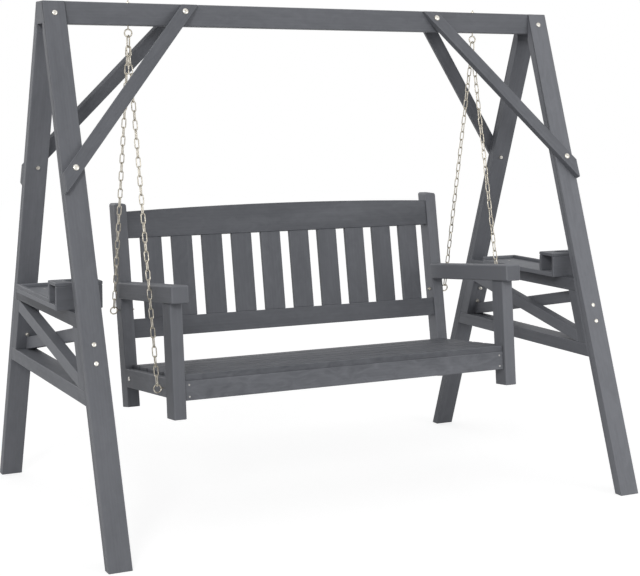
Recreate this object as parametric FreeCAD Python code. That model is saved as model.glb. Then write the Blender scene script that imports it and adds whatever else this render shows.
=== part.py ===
import FreeCAD, Part
import math
import os

# Garden swing: a slatted bench on four chains, hung in a timber A-frame with a tray
# and a cup holder in each side. Millimetres. X runs along the beam, -Y is the front,
# Z is up, and the origin lies on the ground under the middle of the beam.

Vector = FreeCAD.Vector
Rotation = FreeCAD.Rotation
Placement = FreeCAD.Placement
X_AXIS = Vector(1, 0, 0)
Y_AXIS = Vector(0, 1, 0)
Z_AXIS = Vector(0, 0, 1)
SIDES = (("left", -1), ("right", 1))
ENDS = (("front", -1), ("rear", 1))

# Stand: beam and legs
stand_width = 2000.0
stand_height = 1750.0
foot_depth = 1325.0
leg_width = 77.0
leg_thickness = 36.0
leg_land = 2.0
beam_depth = 68.0
beam_height = 75.0

# Knee braces between the beam and the legs
brace_width = 47.0
brace_thickness = 24.0
brace_reach = 527.0
brace_drop = 597.0
brace_seat_cut = 16.5

# Side panels: rails, stiles and crossed diagonals between the legs
rail_height = 46.0
lower_rail_z = 474.0
upper_rail_z = 707.5
stile_thickness = 46.0
diagonal_width = 43.0

# Trays on the upper rails, with a cup holder at the front
tray_width = 155.0
tray_front = 280.0
tray_rear = 207.0
tray_thickness = 17.0
rim_height = 12.0
rim_thickness = 14.0
cup_depth = 92.0
cup_height = 72.0
cup_wall = 12.0
cup_top_thickness = 12.0
cup_diameter = 68.0

# Coach screws and bolts of the stand
screw_diameter = 8.0
screw_head_diameter = 19.0
screw_head_top = 11.0
screw_head_height = 4.5
screw_clearance = 0.3
leg_screw_drop = 40.0
leg_screw_length = 46.0
brace_screw_top_drop = 33.0
brace_screw_top_length = 50.0
brace_screw_low_drop = 550.0
brace_screw_low_length = 52.0
panel_bolt_drop = 46.0
panel_bolt_pitch = 57.0
nut_width = 13.0
nut_height = 6.5
thread_end = 6.0
round_sides = 8
nut_sides = 6

# Bench: its frame is tilted back about its front lower edge
bench_width = 1342.0
bench_tilt = 5.43
bench_front_y = -358.5
bench_bottom_z = 378.4
post_width = 45.0
post_depth = 60.0
post_corner = 9.0
front_post_lean = 2.0
rear_post_y = 467.0
rear_post_foot = 4.0
rear_post_height = 724.8
recline = 4.73
arm_width = 62.0
arm_thickness = 59.0
arm_bottom = 382.0
arm_overhang = 43.0
arm_edge = 6.0
apron_thickness = 24.0
apron_bottom = 57.0
rear_apron_height = 45.0
rear_apron_thickness = 20.0
side_apron_bottom = 67.0
side_apron_height = 66.0
apron_setback = 13.0
rear_apron_setback = 5.0
bearer_thickness = 30.0
seat_top = 144.0
seat_slat_count = 6
seat_slat_width = 67.0
seat_slat_gap = 12.2
seat_slat_thickness = 21.0
seat_slat_end_gap = 2.0

# Back of the bench
rail_setback = 7.0
back_rail_thickness = 28.0
lower_back_rail_bottom = 239.0
lower_back_rail_height = 69.0
top_rail_bottom = 601.0
top_rail_height = 96.5
top_rail_crown = 12.0
back_slat_count = 10
back_slat_width = 79.5
back_slat_side_gap = 49.8
back_slat_thickness = 18.0
back_slat_recess = 2.5

# Eyes, connectors and chains
eye_wire = 5.0
eye_radius = 13.0
eye_standoff = 5.0
beam_eye_drop = 10.0
eye_nut_width = 10.0
eye_nut_height = 5.0
eye_sides = 6
ring_segments = 12
front_eye_y = 93.0
front_eye_z = 97.0
rear_eye_setback = 24.0
rear_eye_height = 344.0
connector_wire = 5.0
connector_width = 29.5
connector_length = 46.0
link_wire = 4.2
link_width = 18.0
link_pitch = 32.5
link_sides = 4
end_segments = 3
contact_gap = 0.3

# Values that follow from the sizes above
leg_x = (stand_width - leg_width) / 2
leg_run = foot_depth / 2 - beam_depth / 2 - leg_land
lean = math.atan2(leg_run, stand_height)
leg_span = leg_thickness / math.cos(lean)
beam_bottom = stand_height - beam_height
tray_z = upper_rail_z + rail_height
tray_top = tray_z + tray_thickness
cup_top_z = tray_top + cup_height
cup_y = cup_depth / 2 - tray_front
bench_half = bench_width / 2
post_x = bench_half - post_width / 2
seat_bottom = seat_top - seat_slat_thickness
slat_span = top_rail_bottom - lower_back_rail_bottom - lower_back_rail_height
chain_x = bench_half + eye_standoff + eye_radius + eye_wire / 2
axis_z = beam_bottom - beam_eye_drop - eye_wire / 2 - 2 * eye_radius
panel_grip = leg_thickness + stile_thickness
bench_reach = 2 * bench_width


def box(x_range, y_range, z_range):
    """Board with square edges between two values on each axis."""
    corner = Vector(x_range[0], y_range[0], z_range[0])
    size = [pair[1] - pair[0] for pair in (x_range, y_range, z_range)]
    return Part.makeBox(size[0], size[1], size[2], corner)


def plate(points, depth):
    """Flat outline drawn through the points and pushed along a vector."""
    outline = Part.makePolygon(points + [points[0]])
    return Part.Face(outline).extrude(depth)


def side_board(profile, x_low, x_high):
    """Board whose outline is given as pairs of Y and Z."""
    points = [Vector(x_low, y, z) for y, z in profile]
    return plate(points, Vector(x_high - x_low, 0, 0))


def flip(shape, side, end):
    """Copy of a right rear piece, mirrored to the side and the end named by signs."""
    origin = Vector(0, 0, 0)
    if side < 0:
        shape = shape.mirror(origin, X_AXIS)
    if end < 0:
        shape = shape.mirror(origin, Y_AXIS)
    return shape


def save(name, *solids):
    """Write one node, a single solid or a group of separate solids."""
    shape = solids[0] if len(solids) == 1 else Part.makeCompound(list(solids))
    shape.exportStep("parts/" + name + ".step")


def leg_face(z):
    """Distance of a leg's outer face from the middle of the stand at a height."""
    return foot_depth / 2 - leg_run * z / stand_height


def leg_inside(z):
    """Distance of a leg's inner face from the middle of the stand at a height."""
    return leg_face(z) - leg_span


def stile_inside(z):
    """Distance of a stile's inner face from the middle of the stand at a height."""
    return leg_inside(z) - stile_thickness / math.cos(lean)


def skin(rings, closed):
    """Solid of flat faces between successive rings of points, capped where it is open."""
    pairs = list(zip(rings, rings[1:]))
    if closed:
        pairs.append((rings[-1], rings[0]))
    outlines = []
    for near, far in pairs:
        for step in range(len(near)):
            turn = (step + 1) % len(near)
            outlines.append([near[step], near[turn], far[turn], far[step]])
    if not closed:
        outlines.append(rings[0][::-1])
        outlines.append(rings[-1])
    faces = [Part.Face(Part.makePolygon(points + [points[0]])) for points in outlines]
    solid = Part.makeSolid(Part.makeShell(faces))
    if solid.Volume < 0:
        solid.reverse()
    return solid


def turned(point, along, profile, sides):
    """Piece with a regular section about a line, given as pairs of radius and distance.

    The section's flats lie at the given radius.
    """
    across = Y_AXIS if abs(along.x) > abs(along.z) + abs(along.y) else X_AXIS
    upward = along.cross(across)
    rings = []
    for radius, distance in profile:
        corner = radius / math.cos(math.pi / sides)
        middle = point + along * distance
        ring = []
        for step in range(sides):
            angle = 2 * math.pi * step / sides
            offset = across * math.cos(angle) + upward * math.sin(angle)
            ring.append(middle + offset * corner)
        rings.append(ring)
    return skin(rings, False)


def nut(point, along, width, height):
    """Hexagonal nut that stands on a face at the point."""
    return turned(point, along, [(width / 2, 0), (width / 2, height)], nut_sides)


def coach_screw(point, outward, length):
    """Screw whose head sits on a face at the point, with its shank going inward."""
    radius = screw_diameter / 2
    head = [(screw_head_diameter / 2, 0), (screw_head_top / 2, screw_head_height)]
    return turned(point, outward, [(radius, -length), (radius, 0)] + head, round_sides)


def panel_bolt(point, outward):
    """Bolt with the head of a coach screw, through a leg and a stile to its nut."""
    screw = coach_screw(point, outward, panel_grip + nut_height + thread_end)
    return screw.fuse(nut(point - outward * panel_grip, outward * -1, nut_width, nut_height))


def screw_hole(point, outward, length):
    """Hole for a screw or a bolt, open past the face that carries the head."""
    radius = screw_diameter / 2 + screw_clearance
    profile = [(radius, -length - screw_clearance), (radius, screw_head_height)]
    return turned(point, outward, profile, round_sides)


def wire_loop(path, radius, sides):
    """Closed loop of wire along a flat path in X and Z, with a regular section.

    The section's flats lie at the given radius. At each corner of the path the section
    is mitred, so that all faces are flat.
    """
    count = len(path)
    corner = radius / math.cos(math.pi / sides)
    rings = []
    for index in range(count):
        before = (path[index] - path[index - 1]).normalize()
        after = (path[(index + 1) % count] - path[index]).normalize()
        along = (before + after).normalize()
        outward = along.cross(Y_AXIS)
        stretch = 1 / along.dot(after)
        ring = []
        for step in range(sides):
            angle = 2 * math.pi * (step + 0.5) / sides
            across = outward * (corner * math.cos(angle) * stretch)
            ring.append(path[index] + across + Y_AXIS * (corner * math.sin(angle)))
        rings.append(ring)
    return skin(rings, True)


def ring_path(radius):
    """Regular outline of an eye, with the middle of a side at its top and its foot."""
    corner = radius / math.cos(math.pi / ring_segments)
    angles = [2 * math.pi * (index + 0.5) / ring_segments for index in range(ring_segments)]
    return [Vector(corner * math.sin(angle), 0, corner * math.cos(angle)) for angle in angles]


def link_path(inner_length, outer_width, wire):
    """Centre line of a long link: two straight sides and two segmented round ends."""
    radius = (outer_width - wire) / 2
    crown = radius * math.cos(math.pi / end_segments / 2)
    straight = (inner_length + wire) / 2 - crown
    path = []
    for sign in (1, -1):
        for index in range(end_segments + 1):
            angle = math.pi * index / end_segments
            x = -sign * radius * math.cos(angle)
            path.append(Vector(x, 0, sign * (straight + radius * math.sin(angle))))
    return path


def make_leg():
    """Leaning leg, seated on the beam's face and cut level at the top and foot."""
    foot = leg_face(0)
    seat = beam_depth / 2
    seat_z = (foot_depth / 2 - leg_span - seat) * stand_height / leg_run
    profile = [
        (foot, 0),
        (leg_face(stand_height), stand_height),
        (seat, stand_height),
        (seat, seat_z),
        (foot - leg_span, 0),
    ]
    return side_board(profile, stand_width / 2 - leg_width, stand_width / 2)


def make_brace(leg, beam):
    """Knee brace: a flat board that leans on the beam's face and on the leg's face.

    Its back plane starts inside the beam's face at the top and meets the leg's outer
    face at the lower end, so both seats are cut into its back.
    """
    top_y = beam_depth / 2 - brace_seat_cut
    slope = (leg_face(stand_height - brace_drop) - top_y) / brace_drop
    angle = math.atan(slope)
    down = Vector(0, math.sin(angle), -math.cos(angle))
    outward = Vector(0, math.cos(angle), math.sin(angle))
    top = Vector(stand_width / 2 - brace_reach, top_y, stand_height)
    foot = top + X_AXIS * brace_reach + down * (brace_drop / math.cos(angle))
    along = (foot - top).normalize()
    across = along.cross(outward).normalize() * (brace_width / 2)
    spare = along * (2 * brace_width)
    corners = [top - spare - across, foot + spare - across, foot + spare + across, top - spare + across]
    board = plate(corners, outward * brace_thickness)
    reach = 2 * stand_width
    above = box((0, reach), (-reach, reach), (stand_height, 2 * stand_height))
    beyond = box((stand_width / 2, reach), (-reach, reach), (0, 2 * stand_height))
    return board.cut([above, beyond, beam, leg]), outward


def brace_point(drop, outward):
    """Point of the brace's front face on its centre line, at a depth below the top."""
    top_y = beam_depth / 2 - brace_seat_cut
    x = stand_width / 2 - brace_reach + brace_reach * drop / brace_drop
    back = Vector(x, top_y + outward.z / outward.y * drop, stand_height - drop)
    return back + outward * brace_thickness


def eye_hole(point, along, length):
    """Hole for the shank of an eye bolt."""
    radius = eye_wire / 2 + screw_clearance
    profile = [(radius, -screw_clearance), (radius, length + screw_clearance)]
    return turned(point, along, profile, eye_sides)


def eye_shank(point, along, grip):
    """Shank of an eye bolt and its nut, from the face that carries the nut to the ring."""
    radius = eye_wire / 2
    profile = [(radius, -eye_nut_height - thread_end), (radius, grip)]
    shank = turned(point, along, profile, eye_sides)
    return [shank, nut(point, along * -1, eye_nut_width, eye_nut_height)]


os.makedirs("parts", exist_ok=True)

# Places of the coach screws in the right rear quarter of the stand
leg_normal = Vector(0, math.cos(lean), math.sin(lean))
full_beam = box(
    (-stand_width / 2, stand_width / 2), (-beam_depth / 2, beam_depth / 2), (beam_bottom, stand_height)
)
plain_leg = make_leg()
plain_brace, brace_normal = make_brace(plain_leg, full_beam)
leg_screw_z = stand_height - leg_screw_drop
leg_screw_at = Vector(leg_x, leg_face(leg_screw_z), leg_screw_z)
brace_top_at = brace_point(brace_screw_top_drop, brace_normal)
brace_low_at = brace_point(brace_screw_low_drop, brace_normal)
panel_bolts_at = []
for bolt_drop in (panel_bolt_drop, panel_bolt_drop + panel_bolt_pitch):
    bolt_z = upper_rail_z - bolt_drop
    panel_bolts_at.append(Vector(leg_x, leg_face(bolt_z), bolt_z))

leg_screw = (leg_screw_at, leg_normal, leg_screw_length)
brace_screws = (
    (brace_top_at, brace_normal, brace_screw_top_length),
    (brace_low_at, brace_normal, brace_screw_low_length),
)
leg_hole = screw_hole(*leg_screw)
brace_holes = [screw_hole(*screw) for screw in brace_screws]
panel_holes = [screw_hole(point, leg_normal, panel_grip + nut_height) for point in panel_bolts_at]

# Beam with its screw holes and the holes of the two eye bolts
beam_holes = []
for side_name, side in SIDES:
    for end_name, end in ENDS:
        beam_holes.append(flip(leg_hole, side, end))
        beam_holes.append(flip(brace_holes[0], side, end))
    beam_holes.append(eye_hole(Vector(side * chain_x, 0, beam_bottom), Z_AXIS, beam_height))
save("top_beam", full_beam.cut(beam_holes))

# Legs, braces and stiles, each drilled for its screws
leg_piece = plain_leg.cut([leg_hole, brace_holes[1]] + panel_holes)
brace_piece = plain_brace.cut(brace_holes)
stile_low = lower_rail_z + rail_height
stile_profile = [
    (leg_inside(stile_low), stile_low),
    (leg_inside(upper_rail_z), upper_rail_z),
    (stile_inside(upper_rail_z), upper_rail_z),
    (stile_inside(stile_low), stile_low),
]
stile_piece = side_board(stile_profile, stand_width / 2 - leg_width, stand_width / 2).cut(panel_holes)
for side_name, side in SIDES:
    for end_name, end in ENDS:
        place = "_" + end_name + "_" + side_name
        save("leg" + place, flip(leg_piece, side, end))
        save("knee_brace" + place, flip(brace_piece, side, end))
        save("stile" + place, flip(stile_piece, side, end))

# Rails between the legs, and the crossed diagonals, which are alike in both panels
corner_low = stile_low + diagonal_width / 2
corner_high = upper_rail_z - diagonal_width / 2
panel_opening = [
    (-stile_inside(stile_low), stile_low),
    (stile_inside(stile_low), stile_low),
    (stile_inside(upper_rail_z), upper_rail_z),
    (-stile_inside(upper_rail_z), upper_rail_z),
]


def make_diagonal(rise, x_low, x_high):
    """Diagonal from a lower corner to the opposite upper one, cut to the panel opening."""
    low = Vector(x_low, -rise * stile_inside(corner_low), corner_low)
    high = Vector(x_low, rise * stile_inside(corner_high), corner_high)
    along = (high - low).normalize()
    across = along.cross(X_AXIS) * (diagonal_width / 2)
    spare = along * (2 * diagonal_width)
    corners = [low - spare - across, high + spare - across, high + spare + across, low - spare + across]
    board = plate(corners, Vector(x_high - x_low, 0, 0))
    return board.common(side_board(panel_opening, x_low, x_high))


for side_name, side in SIDES:
    middle = side * leg_x
    low_x = middle - leg_width / 2
    high_x = middle + leg_width / 2
    for rail_name, rail_z in (("lower", lower_rail_z), ("upper", upper_rail_z)):
        rail_top = rail_z + rail_height
        rail_profile = [
            (-leg_inside(rail_z), rail_z),
            (leg_inside(rail_z), rail_z),
            (leg_inside(rail_top), rail_top),
            (-leg_inside(rail_top), rail_top),
        ]
        save(rail_name + "_rail_" + side_name, side_board(rail_profile, low_x, high_x))
    save("diagonal_rear_high_" + side_name, make_diagonal(1, low_x, middle))
    save("diagonal_front_high_" + side_name, make_diagonal(-1, middle, high_x))

# Trays: a floor with a low rim, and at the front a bridge with a round hole for a cup
tray_in = leg_x - tray_width / 2
tray_out = leg_x + tray_width / 2
tray_floor = box((tray_in, tray_out), (cup_wall - tray_front, tray_rear), (tray_z, tray_top))
cup_back = cup_depth - tray_front
rim_z = (tray_top, tray_top + rim_height)
outer_rim = box((tray_out - rim_thickness, tray_out), (cup_back, tray_rear), rim_z)
rear_rim = box((tray_in, tray_out - rim_thickness), (tray_rear - rim_thickness, tray_rear), rim_z)
cup_under = cup_top_z - cup_top_thickness
front_wall = box((tray_in, tray_out), (-tray_front, cup_wall - tray_front), (tray_z, cup_under))
back_wall = box((tray_in, tray_out), (cup_back - cup_wall, cup_back), (tray_top, cup_under))
cup_board = box((tray_in, tray_out), (-tray_front, cup_back), (cup_under, cup_top_z))
cup_hole = Part.makeCylinder(cup_diameter / 2, cup_top_thickness, Vector(leg_x, cup_y, cup_under))
for side_name, side in SIDES:
    save("tray_floor_" + side_name, flip(tray_floor, side, 1))
    save("tray_rim_" + side_name, flip(outer_rim, side, 1), flip(rear_rim, side, 1))
    save("cup_walls_" + side_name, flip(front_wall, side, 1), flip(back_wall, side, 1))
    save("cup_top_" + side_name, flip(cup_board.cut(cup_hole), side, 1))

# Coach screws and bolts of the stand, one node for each use
leg_group = []
brace_group = []
panel_group = []
for side_name, side in SIDES:
    for end_name, end in ENDS:
        leg_group.append(flip(coach_screw(*leg_screw), side, end))
        brace_group.extend(flip(coach_screw(*screw), side, end) for screw in brace_screws)
        panel_group.extend(flip(panel_bolt(point, leg_normal), side, end) for point in panel_bolts_at)
save("leg_screws", *leg_group)
save("brace_screws", *brace_group)
save("panel_bolts", *panel_group)

# Bench frame, with the leaning frames of its front posts and of its back
bench_frame = Placement(Vector(0, bench_front_y, bench_bottom_z), Rotation(X_AXIS, -bench_tilt))
front_in_bench = Placement(Vector(0, 0, 0), Rotation(X_AXIS, -front_post_lean))
back_in_bench = Placement(Vector(0, rear_post_y, 0), Rotation(X_AXIS, -recline))
back_frame = bench_frame.multiply(back_in_bench)


def in_bench(shape):
    """Shape drawn square in the bench frame, put in its place."""
    return shape.transformed(bench_frame.toMatrix(), True)


def in_back(shape):
    """Shape drawn square in the frame of the back, put in its place."""
    return shape.transformed(back_frame.toMatrix(), True)


def behind_back(setback):
    """Space behind a plane of the back, in the bench frame, for cutting boards to length."""
    space = box((-bench_reach, bench_reach), (setback, bench_reach), (-bench_reach, bench_reach))
    return space.transformed(back_in_bench.toMatrix(), True)


def before_front_post_back():
    """Space before the rear faces of the front posts, in the bench frame."""
    space = box((-bench_reach, bench_reach), (-bench_reach, post_depth), (-bench_reach, bench_reach))
    return space.transformed(front_in_bench.toMatrix(), True)


def runs_along_y(edge):
    """Whether a straight edge runs from front to rear."""
    return abs(edge.tangentAt(edge.FirstParameter).y) > math.cos(math.pi / 4)


def both_sides(name, shape):
    """Write the right piece and its mirror image on the left."""
    save(name + "_right", shape)
    save(name + "_left", shape.mirror(Vector(0, 0, 0), X_AXIS))


# Eyes on the bench: their middles in the bench frame
inner_x = bench_half - post_width
front_eye = Vector(chain_x, front_eye_y, front_eye_z)
rear_eye = back_in_bench.multVec(Vector(chain_x, rear_eye_setback, rear_eye_height))
apron_inside = bench_half - apron_thickness
front_eye_hole = eye_hole(Vector(apron_inside, front_eye.y, front_eye.z), X_AXIS, apron_thickness)
rear_eye_hole = eye_hole(Vector(inner_x, rear_eye.y, rear_eye.z), X_AXIS, post_width)

# Posts: the front ones carry the arms, the rear ones lean back with level, rounded tops
front_post = box((inner_x, bench_half), (0, post_depth), (0, arm_bottom + arm_thickness))
above_posts = box((-bench_reach, bench_reach), (-bench_reach, bench_reach), (arm_bottom, bench_reach))
front_post = front_post.transformed(front_in_bench.toMatrix(), True).cut(above_posts)
both_sides("front_post", in_bench(front_post))
rear_post = box((inner_x, bench_half), (0, post_depth), (-rear_post_foot, bench_reach))
rear_eye_hole_in_back = rear_eye_hole.transformed(back_in_bench.inverse().toMatrix(), True)
rear_post = in_back(rear_post.cut(rear_eye_hole_in_back))
post_top_z = back_frame.multVec(Vector(0, 0, rear_post_height)).z
above_tops = box((-bench_reach, bench_reach), (-bench_reach, bench_reach), (post_top_z, 2 * bench_reach))
rear_post = rear_post.cut(above_tops)
long_edges = [edge for edge in rear_post.Edges if runs_along_y(edge)]
top_corners = [edge for edge in long_edges if abs(edge.CenterOfMass.z - post_top_z) < 1]
both_sides("rear_post", rear_post.makeFillet(post_corner, top_corners))

# Arms: thick boards with eased long edges, butted against the rear posts
arm = box(
    (post_x - arm_width / 2, post_x + arm_width / 2),
    (-arm_overhang, rear_post_y + 2 * post_depth),
    (arm_bottom, arm_bottom + arm_thickness),
)
eased = [edge for edge in arm.Edges if runs_along_y(edge)]
both_sides("armrest", in_bench(arm.makeFillet(arm_edge, eased).cut(behind_back(0))))

# Seat frame: aprons between the posts and bearers under the ends of the slats
apron_z = (apron_bottom, seat_bottom)
front_apron = box((-inner_x, inner_x), (apron_setback, apron_setback + apron_thickness), apron_z)
save("front_apron", in_bench(front_apron))
rear_apron = box(
    (-inner_x, inner_x),
    (rear_apron_setback, rear_apron_setback + rear_apron_thickness),
    (seat_bottom - rear_apron_height, seat_bottom),
)
save("rear_apron", in_back(rear_apron))
side_apron = box(
    (apron_inside, bench_half),
    (0, rear_post_y + post_depth),
    (side_apron_bottom, side_apron_bottom + side_apron_height),
)
side_apron = side_apron.cut([before_front_post_back(), behind_back(0), front_eye_hole])
both_sides("side_apron", in_bench(side_apron))
bearer = box(
    (inner_x - bearer_thickness, inner_x),
    (apron_setback + apron_thickness, rear_post_y + post_depth),
    apron_z,
)
both_sides("seat_bearer", in_bench(bearer.cut(behind_back(rear_apron_setback))))

# Seat slats: the first fits between the front posts, the others between the side aprons
for index in range(seat_slat_count):
    seat_end = (apron_inside if index else inner_x) - seat_slat_end_gap
    slat_y = apron_setback + index * (seat_slat_width + seat_slat_gap)
    slat = box((-seat_end, seat_end), (slat_y, slat_y + seat_slat_width), (seat_bottom, seat_top))
    save("seat_slat_" + str(index + 1), in_bench(slat))

# Back: a lower rail, an arched top rail and upright slats between them
rail_y = (rail_setback, rail_setback + back_rail_thickness)
lower_back_rail_top = lower_back_rail_bottom + lower_back_rail_height
lower_rail = box((-inner_x, inner_x), rail_y, (lower_back_rail_bottom, lower_back_rail_top))
save("back_lower_rail", in_back(lower_rail))
shoulder_z = top_rail_bottom + top_rail_height
foot_left = Vector(-inner_x, rail_setback, top_rail_bottom)
foot_right = Vector(inner_x, rail_setback, top_rail_bottom)
shoulder_left = Vector(-inner_x, rail_setback, shoulder_z)
shoulder_right = Vector(inner_x, rail_setback, shoulder_z)
crown = Vector(0, rail_setback, shoulder_z + top_rail_crown)
rail_edges = [
    Part.LineSegment(foot_left, foot_right).toShape(),
    Part.LineSegment(foot_right, shoulder_right).toShape(),
    Part.Arc(shoulder_right, crown, shoulder_left).toShape(),
    Part.LineSegment(shoulder_left, foot_left).toShape(),
]
top_rail = Part.Face(Part.Wire(rail_edges)).extrude(Vector(0, back_rail_thickness, 0))
save("back_top_rail", in_back(top_rail))
slat_y = rail_setback + back_slat_recess
first_slat_x = back_slat_side_gap - inner_x
back_slat_pitch = (-2 * first_slat_x - back_slat_width) / (back_slat_count - 1)
back_slats = []
for index in range(back_slat_count):
    slat_x = first_slat_x + index * back_slat_pitch
    corner = Vector(slat_x, slat_y, lower_back_rail_top)
    back_slats.append(in_back(Part.makeBox(back_slat_width, back_slat_thickness, slat_span, corner)))
save("back_slats", *back_slats)

# Eye bolts in the beam: a ring in the plane of the beam, a shank through it and a nut on top
eye_ring = wire_loop(ring_path(eye_radius), eye_wire / 2, eye_sides)
beam_eye_z = axis_z + eye_radius
beam_grip = stand_height - beam_eye_z - eye_radius
beam_eyes = []
for side_name, side in SIDES:
    ring = eye_ring.copy()
    ring.translate(Vector(side * chain_x, 0, beam_eye_z))
    beam_eyes.append(ring.fuse(eye_shank(Vector(side * chain_x, 0, stand_height), Z_AXIS * -1, beam_grip)))
save("beam_eyes", *beam_eyes)

# Connector links: each hangs in its eye and carries the first links of two chains
eye_corner = eye_wire / 2 / math.cos(math.pi / eye_sides)
connector_inside = connector_length - 2 * connector_wire
connector_path = link_path(connector_inside, connector_width, connector_wire)
connector_top = axis_z + eye_corner + contact_gap
connector_foot = connector_top - connector_inside
connector_turn = Placement(
    Vector(0, 0, (connector_top + connector_foot) / 2), Rotation(Z_AXIS, 90)
)
connector = wire_loop(connector_path, connector_wire / 2, eye_sides)
connectors = []
for side_name, side in SIDES:
    piece = connector.transformed(connector_turn.toMatrix(), True)
    piece.translate(Vector(side * chain_x, 0, 0))
    connectors.append(piece)
save("chain_connectors", *connectors)


def hang(eye_middle):
    """Top and direction of a chain from the connector's foot to an eye on the bench.

    The first link leans, so its lower corner and its neighbour on the same connector
    set how high and how far from the middle it sits.
    """
    foot = Vector(0, 0, connector_foot)
    swing = math.atan2(abs(eye_middle.y), foot.z - eye_middle.z)
    lift = link_wire / 2 * math.sin(swing) + contact_gap
    apart = link_wire / 2 * math.cos(swing) + link_wire * math.sin(swing) + contact_gap / 2
    top = Vector(chain_x, math.copysign(apart, eye_middle.y), connector_foot + lift)
    return top, (eye_middle - top)


def make_chain(eye_middle):
    """Links from the connector to an eye, each turned a quarter against the last.

    The number of links is even, so that the first lies across the connector and the
    last across the eye. The pitch is trimmed until they fill the span exactly.
    """
    top, line = hang(eye_middle)
    span = line.Length - eye_radius + eye_wire / 2
    count = 2 * round(span / link_pitch / 2)
    pitch = span / count
    inside = pitch + contact_gap
    link = wire_loop(link_path(inside, link_width, link_wire), link_wire / 2, link_sides)
    down = line.normalize()
    slant = Rotation(X_AXIS, math.degrees(math.atan2(down.y, -down.z)))
    links = []
    for index in range(count):
        turn = slant.multiply(Rotation(Z_AXIS, 90 * (index % 2)))
        spot = Placement(top + down * (inside / 2 + index * pitch), turn)
        links.append(link.transformed(spot.toMatrix(), True))
    return links, slant


seat_eyes = []
for end_name, eye_local, board in (("front", front_eye, apron_thickness), ("rear", rear_eye, post_width)):
    eye_middle = bench_frame.multVec(eye_local)
    links, slant = make_chain(eye_middle)
    ring = eye_ring.transformed(Placement(eye_middle, slant).toMatrix(), True)
    inner_face = Vector(bench_half - board, eye_middle.y, eye_middle.z)
    eye = ring.fuse(eye_shank(inner_face, X_AXIS, board + eye_standoff + eye_wire / 2))
    for side_name, side in SIDES:
        save("chain_" + end_name + "_" + side_name, *[flip(link, side, 1) for link in links])
        seat_eyes.append(flip(eye, side, 1))
save("seat_eyes", *seat_eyes)
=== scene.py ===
import itertools
import math

import bpy
import numpy as np
from mathutils import Matrix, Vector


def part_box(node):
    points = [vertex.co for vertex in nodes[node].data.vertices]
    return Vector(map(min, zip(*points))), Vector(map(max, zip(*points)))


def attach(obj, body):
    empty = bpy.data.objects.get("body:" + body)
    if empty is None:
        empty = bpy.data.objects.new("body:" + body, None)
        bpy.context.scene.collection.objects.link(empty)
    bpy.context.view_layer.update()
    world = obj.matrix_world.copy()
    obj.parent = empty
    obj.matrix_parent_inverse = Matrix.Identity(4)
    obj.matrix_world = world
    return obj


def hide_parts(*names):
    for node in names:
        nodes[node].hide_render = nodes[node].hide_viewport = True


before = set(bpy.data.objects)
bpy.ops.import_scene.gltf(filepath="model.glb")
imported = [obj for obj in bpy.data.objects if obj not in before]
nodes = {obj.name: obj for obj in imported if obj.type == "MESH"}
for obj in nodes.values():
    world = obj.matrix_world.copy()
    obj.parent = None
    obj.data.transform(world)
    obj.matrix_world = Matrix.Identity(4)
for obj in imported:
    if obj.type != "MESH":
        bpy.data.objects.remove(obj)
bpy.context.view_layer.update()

# Garden swing: eased timber boards, round wire chains and domed coach screws over the packed
# solids. Metres, X along the beam, -Y the front, Z up.

X, Y, Z = np.eye(3)
SIDES = {"left": -1, "right": 1}
ENDS = {"front": -1, "rear": 1}

# Sizes of the stand
stand_half = 1.000
stand_height = 1.750
leg_x = 0.9615
foot_reach = 0.6625
leg_run = 0.6265
leg_thickness = 0.036
stile_thickness = 0.046
beam_half = 0.034
brace_reach = 0.527
brace_drop = 0.597
brace_seat_cut = 0.0165
brace_thickness = 0.024
rim_thickness = 0.014
cup_wall = 0.012
cup_radius = 0.034

# Sizes of the bench, which is tilted about its front lower edge
bench_half = 0.671
bench_tilt = math.radians(5.43)
bench_front_y = -0.3585
bench_bottom_z = 0.3784
post_width = 0.045
post_top_zone = 0.020
apron_thickness = 0.024
apron_setback = 0.013
rear_post_y = 0.467
recline = math.radians(4.73)
seat_slat_count = 6
back_slat_count = 10

# Sizes of the chains and eyes, with each wire given by its radius
chain_x = 0.6915
axis_z = 1.6365
eye_radius = 0.013
eye_wire = 0.0025
eye_standoff = 0.005
eye_thread_end = 0.011
eye_tip_bevel = 0.0008
eye_nut_width = 0.010
eye_nut_height = 0.005
beam_eye_root = 0.001
beam_eye_tip = 0.00175
seat_eye_root = 0.0015
seat_eye_tip = 0.0018
front_eye_y, front_eye_z = 0.093, 0.097
rear_eye_y, rear_eye_z = 0.024, 0.344
connector_width = 0.0295
connector_length = 0.046
connector_wire = 0.0025
link_width = 0.018
link_wire = 0.0021
link_pitch = 0.0325
contact_gap = 0.0003

# Sizes of the screws, bolts and nuts, with each head given by its radius and height
screw_shank = 0.0039
leg_screw_drop = 0.040
leg_screw_length = 0.045
leg_head = (0.0095, 0.0046)
brace_screw_drops = (0.033, 0.550)
brace_screw_length = 0.049
brace_head = (0.0108, 0.0052)
panel_bolt_heights = (0.6615, 0.6045)
panel_bolt_end = 0.0124
panel_head = (0.0080, 0.0042)
nut_width = 0.013
nut_height = 0.0065
bolt_end_root = 0.010
bolt_end_length = 0.0118
bolt_tip_bevel = 0.0010
bolt_tip_radius = 0.0030
front_screw_x = 0.609
front_screw_heights = (0.070, 0.109)
front_screw_radius = 0.0029
side_screw_y, side_screw_z = 0.442, 0.100
side_screw_length = 0.020
side_head = (0.0075, 0.0036)
tray_screw_y = 0.132
tray_screw_radius = 0.0042

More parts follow.
